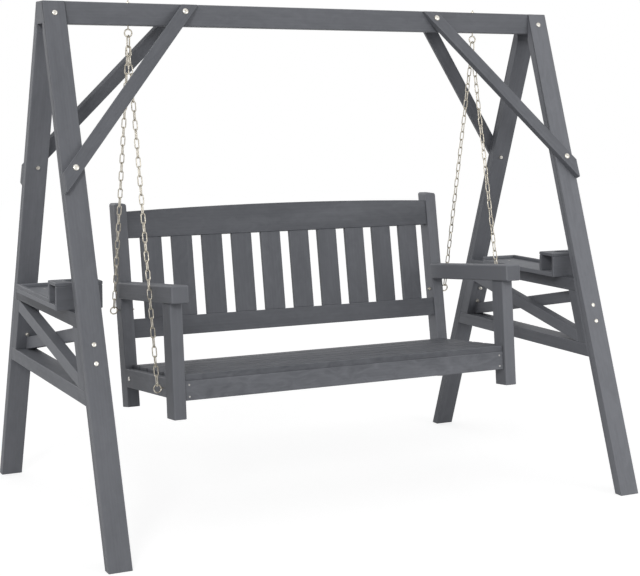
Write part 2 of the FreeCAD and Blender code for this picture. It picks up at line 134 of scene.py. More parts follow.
# Rounding of the boards' edges, and fineness of the meshes
board_ease = 0.0025
arm_ease = 0.006
rim_angles = np.radians((0.0, 30.0, 60.0, 90.0))
least_draw = 0.02
corner_points = 4
least_turn = 0.15
same_plane = 1e-5
same_height = 1e-4
sharp_angle = math.radians(42)
shank_sides = 12
head_sides = 18
eye_steps, eye_sides = 28, 10
connector_bend_steps, connector_sides = 12, 10
link_bend_steps, link_sides = 6, 6


def unit(vector):
    """A vector divided by its length."""
    return np.asarray(vector, float) / np.linalg.norm(vector)


def square_to(direction, usual, other):
    """Direction square to one and to the usual one, or to the other where the first two nearly agree."""
    nearly = 0.8
    return unit(np.cross(direction, usual if abs(direction @ usual) < nearly else other))


def in_bench(x, y, z):
    """Point of the bench in the shared frame: turned back by the tilt about the front lower edge."""
    cosine, sine = math.cos(bench_tilt), math.sin(bench_tilt)
    return np.array((x, bench_front_y + cosine * y + sine * z, bench_bottom_z - sine * y + cosine * z))


def in_back(x, y, z):
    """Point of the leaning back in the shared frame: turned by the recline at the rear posts' feet."""
    cosine, sine = math.cos(recline), math.sin(recline)
    return in_bench(x, rear_post_y + cosine * y + sine * z, cosine * z - sine * y)


bench_back = unit(in_bench(0, 1, 0) - in_bench(0, 0, 0))
bench_up = unit(in_bench(0, 0, 1) - in_bench(0, 0, 0))
back_depth = unit(in_back(0, 1, 0) - in_back(0, 0, 0))


def node_points(node):
    """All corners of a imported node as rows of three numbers."""
    mesh = nodes[node].data
    flat = np.empty(len(mesh.vertices) * 3, np.float32)
    mesh.vertices.foreach_get("co", flat)
    return flat.reshape(-1, 3).astype(float)


def outline_of(flat):
    """Corners of a convex outline in turn: the point that lies furthest out in each of many directions.

    The directions start a little off the axes, so that none of them is square to an edge.
    """
    directions, offset = 2880, 0.0004
    turn = np.linspace(0, 2 * np.pi, directions, endpoint=False) + offset
    reach = flat @ np.stack([np.cos(turn), np.sin(turn)])
    corners = np.round(flat[np.argmax(reach, axis=0)], 6)
    return corners[np.any(corners != np.roll(corners, 1, axis=0), axis=1)]


def ring_faces(rings, around):
    """Faces of stacked rings: four-sided ones between neighbours, and a flat cap on both ends.

    Faces are kept as blocks, whole arrays in which each row holds one face's corners.
    """
    low = np.arange(around)
    high = np.roll(low, -1)
    rows = (np.arange(rings - 1) * around)[:, None]
    quads = np.stack([rows + low, rows + high, rows + around + high, rows + around + low], axis=-1)
    caps = np.stack([low[::-1], low + (rings - 1) * around])
    return [quads.reshape(-1, 4), caps]


def loop_faces(along, around, copies=1):
    """Faces of closed loops of wire: a four-sided one per step along and around, closed both ways."""
    here = (np.arange(along) * around)[:, None]
    ahead = np.roll(here, -1, axis=0)
    low = np.arange(around)
    high = np.roll(low, -1)
    quads = np.stack([here + low, ahead + low, ahead + high, here + high], axis=-1).reshape(1, -1, 4)
    shift = (np.arange(copies) * along * around)[:, None, None]
    return [(quads + shift).reshape(-1, 4)]


def turned_over(blocks):
    """The same faces, pointing the other way."""
    return [block[:, ::-1] for block in blocks]


def new_piece(name, points, blocks, material, body, stands_for):
    """Smooth-shaded object at the origin with its place in its mesh, riding on a body."""
    mesh = bpy.data.meshes.new(name)
    faces = list(itertools.chain.from_iterable(block.tolist() for block in blocks))
    mesh.from_pydata(points.reshape(-1, 3).tolist(), [], faces)
    mesh.shade_smooth()
    mesh.materials.append(material)
    piece = bpy.data.objects.new(name, mesh)
    bpy.context.scene.collection.objects.link(piece)
    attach(piece, body)
    if stands_for:
        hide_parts(*stands_for)
    return piece


def put_attribute(mesh, name, values):
    """Numbers or vectors of all points as a named attribute of the mesh."""
    values = np.ascontiguousarray(values, np.float32)
    kind, field = ("FLOAT", "value") if values.ndim == 1 else ("FLOAT_VECTOR", "vector")
    mesh.attributes.new(name, kind, "POINT").data.foreach_set(field, values.ravel())


# Materials: a grey stain over softwood, in each board's own directions, and zinc-plated metal


def new_material(name):
    """Node material with its tree and its shader."""
    material = bpy.data.materials.new(name)
    material.use_nodes = True
    tree = material.node_tree
    shader = next(node for node in tree.nodes if node.type == "BSDF_PRINCIPLED")
    return material, tree, shader


def add_node(tree, kind, inputs=None, **settings):
    """New node with its settings, and its inputs as values or as links."""
    node = tree.nodes.new(kind)
    for key, value in settings.items():
        setattr(node, key, value)
    for key, value in (inputs or {}).items():
        if isinstance(value, bpy.types.NodeSocket):
            tree.links.new(value, node.inputs[key])
        else:
            node.inputs[key].default_value = value
    return node


def math_of(tree, operation, *values):
    """Result of one sum on numbers or other nodes' results."""
    return add_node(tree, "ShaderNodeMath", dict(enumerate(values)), operation=operation).outputs[0]


def sum_of(tree, first, second, weight):
    """First plus weight times second."""
    return math_of(tree, "MULTIPLY_ADD", second, weight, first)


def colour_steps(tree, level, *steps):
    """Colour that runs between the colours of the steps, each with the level where it is reached."""
    ramp = add_node(tree, "ShaderNodeValToRGB", {"Fac": level})
    stops = ramp.color_ramp.elements
    stops.remove(stops[1])
    stops[0].position = steps[0][0]
    stops[0].color = (*steps[0][1], 1)
    for position, colour in steps[1:]:
        stops.new(position).color = (*colour, 1)
    return ramp.outputs["Color"]


def grey_stain(name):
    """Stained softwood: fine streaks, growth rings, clouds and slow patches along the grain, paler rubbed
    edges, plain end grain, a strength of figure of its own for each board, and a tone for each board that
    holds a little chance and painted light and shade."""
    material, tree, shader = new_material(name)
    grain = add_node(tree, "ShaderNodeAttribute", attribute_name="grain").outputs["Vector"]
    edge, end, tone, figure = (
        add_node(tree, "ShaderNodeAttribute", attribute_name=attribute).outputs["Fac"]
        for attribute in ("edge", "end_grain", "tone", "figure"))

    def stretched(along, across):
        """Place in the board, scaled along the grain and across it."""
        scale = (along, across, across)
        return add_node(tree, "ShaderNodeVectorMath", {0: grain, 1: scale}, operation="MULTIPLY").outputs[0]

    def noise(along, across, detail, roughness, distortion=0.0):
        """Noise drawn out along the grain."""
        return add_node(tree, "ShaderNodeTexNoise", {
            "Vector": stretched(along, across), "Scale": 1.0, "Detail": detail, "Roughness": roughness,
            "Distortion": distortion}).outputs["Fac"]

    fine = noise(5.0, 260.0, 5.0, 0.6)
    streak = noise(1.6, 46.0, 4.0, 0.6, 1.2)
    patch = noise(2.4, 11.0, 3.0, 0.5)
    cloud = noise(13.0, 30.0, 3.0, 0.55, 1.4)
    ring = add_node(tree, "ShaderNodeTexWave", {
        "Vector": stretched(0.9, 30.0), "Scale": 1.0, "Distortion": 9.0, "Detail": 2.0, "Detail Scale": 0.7,
        "Detail Roughness": 0.5}, wave_type="RINGS", rings_direction="X", wave_profile="SAW").outputs["Fac"]

    level = 0.385
    for part, weight in ((fine, 0.06), (streak, 0.19), (ring, 0.05), (patch, 0.30)):
        level = sum_of(tree, level, part, weight)
    clouded = sum_of(tree, -0.20, cloud, 0.40)
    level = sum_of(tree, level, clouded, figure)
    sawn = sum_of(tree, 0.50, patch, 0.28)
    level = add_node(tree, "ShaderNodeMix", {"Factor": end, "A": level, "B": sawn}).outputs["Result"]
    rubbed = math_of(tree, "MULTIPLY", edge, patch)
    level = sum_of(tree, level, rubbed, 0.45)
    # The tone adds each board's painted light and shade, and a little chance, to the colour
    level = math_of(tree, "ADD", level, tone)
    colour = colour_steps(
        tree, level,
        (0.0, (0.047, 0.051, 0.060)), (0.58, (0.137, 0.143, 0.159)), (1.0, (0.213, 0.220, 0.242)))
    tree.links.new(colour, shader.inputs["Base Color"])

    rough = sum_of(tree, 0.50, fine, 0.22)
    rough = sum_of(tree, rough, edge, -0.06)
    tree.links.new(rough, shader.inputs["Roughness"])
    shader.inputs["Specular IOR Level"].default_value = 0.35
    height = sum_of(tree, fine, streak, 0.8)
    height = sum_of(tree, height, ring, 0.15)
    bump = add_node(tree, "ShaderNodeBump", {"Strength": 0.15, "Distance": 0.0008, "Height": height})
    tree.links.new(bump.outputs["Normal"], shader.inputs["Normal"])
    return material


def zinc_plate(name, dull, deep, pale):
    """Passivated zinc: metal with cloudy patches between two colours, fine scratches and rubbed shine."""
    material, tree, shader = new_material(name)
    place = add_node(tree, "ShaderNodeTexCoord").outputs["Object"]
    cloud = add_node(tree, "ShaderNodeTexNoise", {
        "Vector": place, "Scale": 90.0, "Detail": 3.0, "Roughness": 0.6}).outputs["Fac"]
    grit = add_node(tree, "ShaderNodeTexNoise", {
        "Vector": place, "Scale": 1400.0, "Detail": 2.0, "Roughness": 0.6}).outputs["Fac"]
    tree.links.new(colour_steps(tree, cloud, (0.32, deep), (0.68, pale)), shader.inputs["Base Color"])
    shader.inputs["Metallic"].default_value = 1.0
    rough = sum_of(tree, dull, cloud, 0.14)
    rough = sum_of(tree, rough, grit, 0.08)
    tree.links.new(rough, shader.inputs["Roughness"])
    bump = add_node(tree, "ShaderNodeBump", {"Strength": 0.12, "Distance": 0.0003, "Height": grit})
    tree.links.new(bump.outputs["Normal"], shader.inputs["Normal"])
    return material


stained_timber = grey_stain("stained_timber")
chain_zinc = zinc_plate("chain_zinc", 0.26, (0.38, 0.345, 0.28), (0.70, 0.66, 0.575))
screw_zinc = zinc_plate("screw_zinc", 0.22, (0.58, 0.55, 0.49), (0.86, 0.84, 0.79))
small_screw_zinc = zinc_plate("small_screw_zinc", 0.36, (0.48, 0.46, 0.43), (0.74, 0.72, 0.68))

# Painted light and shade, by the start of a board's name, all that fit added: boards in shade (the back,
# the seat top, the rails under the trays, the rear braces) are made darker, and boards where more light
# falls (the right side, the tray floors) paler
painted_light_shade_shift = {
    "back_top_rail": -0.34, "back_slat": -0.15, "back_slat_2": -0.16, "back_slat_3": -0.14,
    "back_lower_rail": -0.18, "seat_slat": -0.25, "armrest": -0.02, "armrest_right": 0.34,
    "knee_brace_rear": -0.20, "knee_brace_front": -0.08, "knee_brace_front_left": -0.06,
    "front_post_right": 0.22, "rear_post": 0.06, "rear_post_right": 0.10, "tray_floor": 0.26,
    "leg_rear_left": 0.14, "leg_front_right": 0.16, "diagonal": 0.18,
    "upper_rail": -0.22, "upper_rail_left": -0.24, "top_beam": -0.06,
}

# Boards whose figure shows more than the others'
strong_figure = ("front_apron", "seat_slat_1")
board_numbers = itertools.count(1)


def board_piece(name, points, blocks, normals, wear, along, body, stands_for):
    """Wooden piece with its grain directions, rubbed edges, end grain, tone and figure as attributes.

    The grain attribute holds the distances along the board and across it both ways, moved by a
    different amount for each board. End grain grows as the fourth power of how far a face looks
    along the board. The tone is the board's painted light and shade, left out on the ends, and a little
    chance.
    """
    number = next(board_numbers)
    points = points.reshape(-1, 3)
    normals = normals.reshape(-1, 3)
    piece = new_piece(name, points, blocks, stained_timber, body, stands_for)
    mesh = piece.data
    across = square_to(along, Z, X)
    depth = np.cross(along, across)
    along_step, across_step, depth_step = 1.37, 0.031, 0.017
    across_places, depth_places, core = 7, 5, 0.05
    slide = np.array((
        along_step * number,
        across_step * (number % across_places - across_places // 2),
        core + depth_step * (number % depth_places)))
    place = (points - points.mean(axis=0)) @ np.stack([along, across, depth], axis=1)
    put_attribute(mesh, "grain", place + slide)
    put_attribute(mesh, "edge", wear.ravel())
    end_grain = np.abs(normals @ along) ** 4
    put_attribute(mesh, "end_grain", end_grain)
    golden_share, chance_weight = 0.618, 0.12
    chance = (number * golden_share) % 1.0
    # Painted light and shade: the listed shift darkens boards in shade and pales boards where more light
    # falls
    shift = sum(value for start, value in painted_light_shade_shift.items() if name.startswith(start))
    put_attribute(mesh, "tone", shift * (1 - end_grain) + chance_weight * chance)
    strong, least = 1.8, 0.5
    figure = strong if name.startswith(strong_figure) else least + (1 - least) * chance
    put_attribute(mesh, "figure", np.full(len(points), figure))
    mesh.normals_split_custom_set_from_vertices(normals.tolist())
    return piece


def eased_plate(name, corners, faces_at, axes, ease, body, stands_for, draft=None, rim_ease=None):
    """Board: a convex outline with rounded corners, run between two faces with rounded rims.

    Each corner turns about a middle that lies one easing radius inside both of its edges, in several
    points, or in one where the outline hardly turns. At angle v of the rim the outline is drawn in by
    (1 - sin v) of the rim's radius, and lies (1 - cos v) of it inside the face. A draft moves a corner
    in proportion to its distance from the front face.
    """
    rim_ease = ease if rim_ease is None else rim_ease
    first, second, through = axes
    run = np.roll(corners, -1, axis=0) - corners
    length = np.linalg.norm(run, axis=1)
    out_after = np.stack([run[:, 1], -run[:, 0]], axis=1) / length[:, None]
    out_before = np.roll(out_after, 1, axis=0)
    share = 1 + np.sum(out_after * out_before, axis=1, keepdims=True)
    middles = corners - ease * (out_after + out_before) / share
    start = np.arctan2(out_before[:, 1], out_before[:, 0])
    turn = np.arctan2(out_after[:, 1], out_after[:, 0]) - start
    turn = (turn + np.pi) % (2 * np.pi) - np.pi
    count = np.where(turn > least_turn, corner_points, 1)
    corner = np.repeat(np.arange(len(corners)), count)
    step = np.arange(len(corner)) - (np.cumsum(count) - count)[corner]
    fan = np.where(count[corner] > 1, step / (corner_points - 1), 0.5)
    angle = start[corner] + turn[corner] * fan
    outward = np.stack([np.cos(angle), np.sin(angle)], axis=-1)
    full_wear_turn = 1.2
    corner_wear = np.sin(np.pi * fan) * np.clip(turn[corner] / full_wear_turn, 0, 1)

    rim = np.concatenate([rim_angles, rim_angles[::-1]])
    front = np.arange(len(rim)) >= len(rim_angles)
    reach = ease - rim_ease * (1 - np.maximum(np.sin(rim), least_draw))
    sink = rim_ease * (1 - np.cos(rim))
    at = np.where(front, faces_at[1] - sink, faces_at[0] + sink)
    flat = middles[corner] + reach[:, None, None] * outward
    if draft is not None:
        flat = flat + draft[corner] * (faces_at[1] - at)[:, None, None]
    points = flat[..., :1] * first + flat[..., 1:] * second + at[:, None, None] * through
    facing = np.where(front, 1.0, -1.0) * np.cos(rim)
    normals = np.sin(rim)[:, None, None] * (outward[:, :1] * first + outward[:, 1:] * second)
    normals = normals + facing[:, None, None] * through
    wear = np.maximum(np.sin(2 * rim)[:, None], corner_wear)
    longest = np.argmax(length)
    along = through
    if length[longest] > faces_at[1] - faces_at[0]:
        along = unit(run[longest, 0] * first + run[longest, 1] * second)
    blocks = ring_faces(len(rim), len(outward))
    return board_piece(name, points, blocks, normals, wear, along, body, stands_for)


def eased_board(node, body, through=X, ease=board_ease, rim_ease=None,
                points=None, name=None, stands_for=None):
    """Eased plate with the outline of a packed board seen along one direction, between its outer faces.

    Given points, a name and replaced nodes make it one of the boards that share a node.
    """
    points = node_points(node) if points is None else points
    name = node + "_board" if name is None else name
    stands_for = (node,) if stands_for is None else stands_for
    first = square_to(through, Z, Y)
    second = np.cross(through, first)
    outline = outline_of(np.stack([points @ first, points @ second], axis=1))
    depth = points @ through
    faces_at = (depth.min(), depth.max())
    axes = (first, second, through)
    return eased_plate(name, outline, faces_at, axes, ease, body, stands_for, rim_ease=rim_ease)


def front_outline(node, axes):
    """Outline of a packed board's outermost face along the third axis, and all corners' places along it."""
    first, second, through = axes
    points = node_points(node)
    depth = points @ through
    face = points[depth > depth.max() - same_plane]
    return outline_of(np.stack([face @ first, face @ second], axis=1)), depth


# Stand boards that are plain runs of one outline
eased_board("top_beam", "stand")
for side_name in SIDES:
    for end_name in ENDS:
        eased_board("leg_" + end_name + "_" + side_name, "stand")
        eased_board("stile_" + end_name + "_" + side_name, "stand")
    for board in ("lower_rail", "upper_rail", "diagonal_rear_high", "diagonal_front_high", "tray_floor"):
        eased_board(board + "_" + side_name, "stand")


def leg_face(z):
    """Distance of a leg's outer face from the stand's middle, which falls evenly from foot to top."""
    return foot_reach - leg_run * z / stand_height


brace_top_y = beam_half - brace_seat_cut
brace_slope = (leg_face(stand_height - brace_drop) - brace_top_y) / brace_drop
brace_lean = math.atan(brace_slope)
leg_lean = math.atan2(leg_run, stand_height)


def leaning_out(end, lean):
    """Direction out of a leaning face at the front or the rear: the lean's cosine outwards, its sine up."""
    return np.array((0, end * math.cos(lean), math.sin(lean)))


def knee_brace(side_name, end_name):
    """Brace: its front face's outline run back by its thickness, with the upper end kept level."""
    side, end = SIDES[side_name], ENDS[end_name]
    node = "knee_brace_" + end_name + "_" + side_name
    through = leaning_out(end, brace_lean)
    first = X * end
    second = np.cross(through, first)
    axes = (first, second, through)
    corners, depth = front_outline(node, axes)
    down = unit((side * brace_reach, end * brace_slope * brace_drop, -brace_drop))
    down_flat = np.array((down @ first, down @ second))
    heights = corners[:, 0] * first[2] + corners[:, 1] * second[2] + depth.max() * through[2]
    level = np.abs(heights - stand_height) < same_height
    draft = level[:, None] * (down_flat / down[2] * through[2])
    faces_at = (depth.max() - brace_thickness, depth.max())
    eased_plate(node + "_board", corners, faces_at, axes, board_ease, "stand", (node,), draft)


for side_name in SIDES:
    for end_name in ENDS:
        knee_brace(side_name, end_name)


def box_board(node, name, box, stands_for):
    """Eased board on the eight corners of a box, given as its lowest and highest corner."""
    pick = np.indices((2, 2, 2)).reshape(3, -1).T
    eased_board(node, "stand", points=np.where(pick == 0, *box), name=name, stands_for=stands_for)


# Trays: rims along the outer edge and the rear, and the two walls of each cup holder
for side_name, side in SIDES.items():
    node = "tray_rim_" + side_name
    outer = np.array(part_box(node))
    rear = outer.copy()
    inward = 0 if side > 0 else 1
    outer[inward, 0] = outer[1 - inward, 0] - side * rim_thickness
    rear[1 - inward, 0] = outer[inward, 0]
    rear[0, 1] = rear[1, 1] - rim_thickness
    box_board(node, "tray_rim_outer_" + side_name, outer, (node,))
    box_board(node, "tray_rim_rear_" + side_name, rear, ())
    node = "cup_walls_" + side_name
    front = np.array(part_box(node))
    back = front.copy()
    front[1, 1] = front[0, 1] + cup_wall
    back[0, 1] = back[1, 1] - cup_wall
    back[0, 2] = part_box("tray_floor_" + side_name)[1][2]
    box_board(node, "cup_wall_front_" + side_name, front, (node,))
    box_board(node, "cup_wall_back_" + side_name, back, ())


def cup_board(node):
    """Board with a round hole, as a closed ring: at each angle a profile runs from the hole's wall over the
    top to the outer edge, down it and back underneath to the hole. Distances from the middle are the hole's
    radius, or the distance to the rectangle's edge along that angle."""
    low, high = np.array(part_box(node))
    middle = (low + high) / 2
    half = (high - low) / 2
    corner = math.atan2(half[1], half[0])
    short_steps, long_steps = 12, 24
    half_turn = np.concatenate([
        np.linspace(-corner, corner, short_steps, endpoint=False),
        np.linspace(corner, np.pi - corner, long_steps, endpoint=False)])
    angle = np.concatenate([half_turn, half_turn + np.pi])
    across = np.stack([np.cos(angle), np.sin(angle)], axis=1)

    bend = np.radians((0.0, 45.0, 90.0))
    tip = np.concatenate([bend[::-1], bend])
    upright = np.repeat((-1, 1), len(bend)) * np.sin(tip)
    inset = board_ease * (1 - np.cos(tip))
    hole_z = np.repeat((-1, 1), len(bend)) * (half[2] - board_ease * (1 - np.sin(tip)))
    wall = cup_radius + inset[:, None] * np.ones(len(angle))
    least = 1e-9
    reach_x, reach_y = (
        (half[axis] - inset)[:, None] / np.maximum(np.abs(across[:, axis]), least) for axis in (0, 1))
    radius = np.concatenate([wall, np.minimum(reach_x, reach_y)])
    height = np.concatenate([hole_z, -hole_z])
    points = np.empty((len(angle), len(height), 3))
    points[..., :2] = middle[:2] + radius.T[..., None] * across[:, None]
    points[..., 2] = middle[2] + height

    beside_x = reach_x[0] < reach_y[0]
    side = np.where(beside_x[:, None], np.sign(across) * (1, 0), np.sign(across) * (0, 1))
    hole_normals = np.empty((len(angle), len(tip), 3))
    edge_normals = np.empty_like(hole_normals)
    hole_normals[..., :2] = -across[:, None] * np.cos(tip)[:, None]
    hole_normals[..., 2] = upright
    edge_normals[..., :2] = side[:, None] * np.cos(tip)[:, None]
    edge_normals[..., 2] = -upright
    normals = np.concatenate([hole_normals, edge_normals], axis=1)
    wear = np.broadcast_to(np.tile(np.sin(2 * tip), 2), points.shape[:2])
    blocks = turned_over(loop_faces(len(angle), len(height)))
    return board_piece(node + "_board", points, blocks, normals, wear, X, "stand", (node,))


for side_name in SIDES:
    cup_board("cup_top_" + side_name)


def level_post(node):
    """Rear post: the outline of its rear face run to the front face, with the top kept level."""
    first = square_to(back_depth, Z, Y)
    second = np.cross(back_depth, first)
    axes = (first, second, back_depth)
    corners, depth = front_outline(node, axes)
    top = corners[:, 1:] < corners[:, 1].min() + post_top_zone
    draft = top * np.array((0, math.tan(bench_tilt + recline)))
    faces_at = (depth.min(), depth.max())
    eased_plate(node + "_board", corners, faces_at, axes, board_ease, "bench", (node,), draft)


# Bench boards, with the back's slats parted from their one node by their places along X
for side_name in SIDES:
    eased_board("front_post_" + side_name, "bench", through=bench_up, ease=arm_ease, rim_ease=board_ease)
    level_post("rear_post_" + side_name)
    eased_board("armrest_" + side_name, "bench", ease=arm_ease)
    eased_board("side_apron_" + side_name, "bench")
    eased_board("seat_bearer_" + side_name, "bench")
for board in ("front_apron", "rear_apron", "back_lower_rail"):
    eased_board(board, "bench")
for index in range(1, seat_slat_count + 1):
    eased_board("seat_slat_" + str(index), "bench")
eased_board("back_top_rail", "bench", through=back_depth)
slat_points = node_points("back_slats")
slat_points = slat_points[np.argsort(slat_points[:, 0], kind="stable")]
for index, points in enumerate(np.split(slat_points, back_slat_count), 1):
    stands_for = ("back_slats",) if index == 1 else ()
    eased_board("back_slats", "bench", points=points, name="back_slat_" + str(index), stands_for=stands_for)

# Metal: turned pieces and loops of round wire


def turned(at, axis, profile, around, socket=0):
    """Turned shape: rings about an axis, with radius and distance along it from each pair of the profile.

    The last rings, as many as the socket has, are drawn in to a hexagon: cos 30 over the cosine of the
    angle from the middle of its flat.
    """
    axis = unit(axis)
    first = square_to(axis, X, Y)
    second = np.cross(axis, first)
    angle = 2 * np.pi * np.arange(around) / around
    circle = np.cos(angle)[:, None] * first + np.sin(angle)[:, None] * second
    profile = np.asarray(profile, float)
    sixth = math.pi / 3
    shape = np.ones((len(profile), around))
    shape[len(profile) - socket:] = math.cos(sixth / 2) / np.cos(angle % sixth - sixth / 2)
    outward = (profile[:, :1] * shape)[..., None] * circle
    points = np.asarray(at, float) + outward + profile[:, None, 1:] * axis
    return points, ring_faces(len(profile), around)


def metal_group(name, parts, material, body, stands_for):
    """One object from several metal shapes, each given as its points and its faces."""
    points = [part_points.reshape(-1, 3) for part_points, _ in parts]
    firsts = np.cumsum([0] + [len(part_points) for part_points in points])
    blocks = [block + first for (_, part_blocks), first in zip(parts, firsts) for block in part_blocks]
    piece = new_piece(name, np.concatenate(points), blocks, material, body, stands_for)
    piece.data.set_sharp_from_angle(angle=sharp_angle)


def coach_head(at, axis, shank_length, head):
    """Domed screw: a straight shank, a low dome whose height grows as the sine of the angle from its rim,
    and a hexagonal socket sunk into the top."""
    radius, height = head
    dome = np.radians((0.0, 18.0, 36.0, 54.0, 68.0))
    lip, rise = 0.0004, 0.0010
    foot_share, mouth_share, socket_share, socket_depth = 0.97, 0.86, 0.82, 0.6
    dome_radius = radius * np.cos(dome)
    dome_height = rise + (height - rise) * np.sin(dome)
    top_radius, top_height = dome_radius[-1], dome_height[-1]
    profile = [
        (screw_shank, -shank_length), (screw_shank, 0.0), (radius * foot_share, 0.0), (radius, lip),
        *zip(dome_radius, dome_height),
        (top_radius * mouth_share, top_height),
        (top_radius * socket_share, top_height - height * socket_depth)]
    return turned(at, axis, profile, head_sides, socket=2)


def flat_screw(at, axis, radius):
    """Countersunk screw head: a low rounded rim, just proud of the wood, about a hexagonal socket."""
    shares = np.array((0.60, 1.00, 1.00, 0.85, 0.54, 0.50))
    heights = np.array((-0.0040, -0.0004, 0.0002, 0.0006, 0.0004, -0.0020))
    return turned(at, axis, np.stack([radius * shares, heights], axis=1), head_sides, socket=2)


def hex_nut(at, axis, width, height):
    """Hexagonal nut with bevelled upper corners: six flats at half the width, drawn in at the top."""
    corner = width / 2 / math.cos(math.pi / 6)
    bevel_share, top_share = 0.14, 0.88
    profile = [(corner, 0.0), (corner, height - height * bevel_share), (corner * top_share, height)]
    return turned(at, axis, profile, 6)


def wire_points(path, normal, radius, around):
    """Round wire along a closed flat path: at angle v the point lies cos v of the radius outwards in the
    path's plane and sin v of it along the plane's normal."""
    ahead = np.roll(path, -1, axis=0) - np.roll(path, 1, axis=0)
    ahead /= np.linalg.norm(ahead, axis=1, keepdims=True)
    outward = np.cross(ahead, normal)
    angle = 2 * np.pi * np.arange(around) / around
    ring = np.cos(angle)[:, None] * outward[:, None] + np.sin(angle)[:, None] * normal
    return path[:, None] + radius * ring


def stadium_path(inside, width, wire, bend_steps):
    """Centre line of a long link in X and Z: two half circles, joined by straight sides."""
    radius = width / 2 - wire
    straight = inside / 2 + wire - radius
    angle = np.linspace(0, np.pi, bend_steps)
    top = np.stack([radius * np.cos(angle), 0 * angle, straight + radius * np.sin(angle)], axis=1)
    return np.concatenate([top, -top])


def turn_x(points, angle):
    """Points turned about the X axis."""
    cosine, sine = math.cos(angle), math.sin(angle)
    return points @ np.array(((1, 0, 0), (0, cosine, sine), (0, -sine, cosine)))


quarter_turn = np.array(((0.0, 1.0, 0.0), (-1.0, 0.0, 0.0), (0.0, 0.0, 1.0)))


def brace_point(side, end, drop):
    """Point on the middle line of a brace's inner face, which runs out evenly as it drops from the top."""
    x = stand_half - brace_reach + brace_reach * drop / brace_drop
    return np.array((side * x, end * (brace_top_y + brace_slope * drop), stand_height - drop))


# Coach screws and bolts of the stand, and the nuts behind the braces' lower screws
leg_parts, brace_parts, nut_parts, panel_parts = [], [], [], []
panel_grip = leg_thickness + stile_thickness
bolt_end = [
    (screw_shank, -bolt_end_root), (screw_shank, bolt_end_length - bolt_tip_bevel),
    (bolt_tip_radius, bolt_end_length)]
for side, end in itertools.product(SIDES.values(), ENDS.values()):
    leg_out = leaning_out(end, leg_lean)
    brace_out = leaning_out(end, brace_lean)
    z = stand_height - leg_screw_drop
    leg_parts.append(coach_head((side * leg_x, end * leg_face(z), z), leg_out, leg_screw_length, leg_head))
    for drop in brace_screw_drops:
        at = brace_point(side, end, drop) + brace_out * brace_thickness
        brace_parts.append(coach_head(at, brace_out, brace_screw_length, brace_head))
    low = brace_point(side, end, max(brace_screw_drops))
    sunk = low @ leg_out - foot_reach * math.cos(leg_lean) + leg_thickness
    inner = low - brace_out * sunk / (brace_out @ leg_out)
    nut_parts.append(hex_nut(inner, -leg_out, nut_width, nut_height))
    nut_parts.append(turned(inner, -leg_out, bolt_end, shank_sides))
    for z in panel_bolt_heights:
        at = np.array((side * leg_x, end * leg_face(z), z))
        panel_parts.append(coach_head(at, leg_out, panel_grip + panel_bolt_end, panel_head))
        panel_parts.append(hex_nut(at - leg_out * panel_grip, -leg_out, nut_width, nut_height))
metal_group("leg_screw_heads", leg_parts, screw_zinc, "stand", ("leg_screws",))
metal_group("brace_screw_heads", brace_parts, screw_zinc, "stand", ("brace_screws",))
metal_group("brace_nuts", nut_parts, screw_zinc, "stand", ())
metal_group("panel_bolt_heads", panel_parts, screw_zinc, "stand", ("panel_bolts",))

# Eye bolts in the beam, and the connectors that hang in them
ring_angle = -2 * np.pi * np.arange(eye_steps) / eye_steps
ring_path = eye_radius * np.stack([np.sin(ring_angle), 0 * ring_angle, np.cos(ring_angle)], axis=1)
eye_ring = wire_points(ring_path, -Y, eye_wire, eye_sides)
eye_faces = loop_faces(eye_steps, eye_sides)
connector_inside = connector_length - 4 * connector_wire
connector_top = axis_z + eye_wire / math.cos(math.pi / 6) + contact_gap
connector_foot = connector_top - connector_inside
connector_path = stadium_path(connector_inside, connector_width, connector_wire, connector_bend_steps)
connector_loop = wire_points(connector_path, -Y, connector_wire, connector_sides) @ quarter_turn
connector_faces = loop_faces(len(connector_path), connector_sides)
beam_parts, connector_parts = [], []
for side in SIDES.values():
    middle = np.array((side * chain_x, 0, axis_z + eye_radius))
    beam_parts.append((eye_ring + middle, eye_faces))
    foot = middle + Z * (eye_radius - beam_eye_root)
    length = stand_height + eye_thread_end - foot[2]
    shank = [(eye_wire, 0), (eye_wire, length - eye_tip_bevel), (beam_eye_tip, length)]
    beam_parts.append(turned(foot, Z, shank, shank_sides))
    beam_parts.append(hex_nut((side * chain_x, 0, stand_height), Z, eye_nut_width, eye_nut_height))
    hang_at = np.array((side * chain_x, 0, (connector_top + connector_foot) / 2))
    connector_parts.append((connector_loop + hang_at, connector_faces))
metal_group("beam_eye_bolts", beam_parts, chain_zinc, "stand", ("beam_eyes",))
metal_group("chain_connector_links", connector_parts, chain_zinc, "bench", ("chain_connectors",))


def chain_links(eye):
    """Links from a connector's foot to an eye: an even number of them at an equal pitch, each turned a
    quarter against the last. The first is lifted a little and moved to its own side, by its wire's radius
    and the gap, so that two share a connector. Also gives their number and their slant from upright."""
    lean = math.atan2(abs(eye[1]), connector_foot - eye[2])
    lift = link_wire * math.sin(lean) + contact_gap
    apart = link_wire * math.cos(lean) + 2 * link_wire * math.sin(lean) + contact_gap / 2
    top = np.array((chain_x, math.copysign(apart, eye[1]), connector_foot + lift))
    span = np.linalg.norm(eye - top) - eye_radius + eye_wire
    count = 2 * round(span / link_pitch / 2)
    pitch = span / count
    inside = pitch + contact_gap
    down = unit(eye - top)
    slant = math.atan2(down[1], -down[2])
    path = stadium_path(inside, link_width, link_wire, link_bend_steps)
    link = wire_points(path, -Y, link_wire, link_sides)
    pair = np.stack([link, link @ quarter_turn])
    places = top + down * (inside / 2 + pitch * np.arange(count))[:, None]
    return turn_x(pair[np.arange(count) % 2], slant) + places[:, None, None, :], count, slant


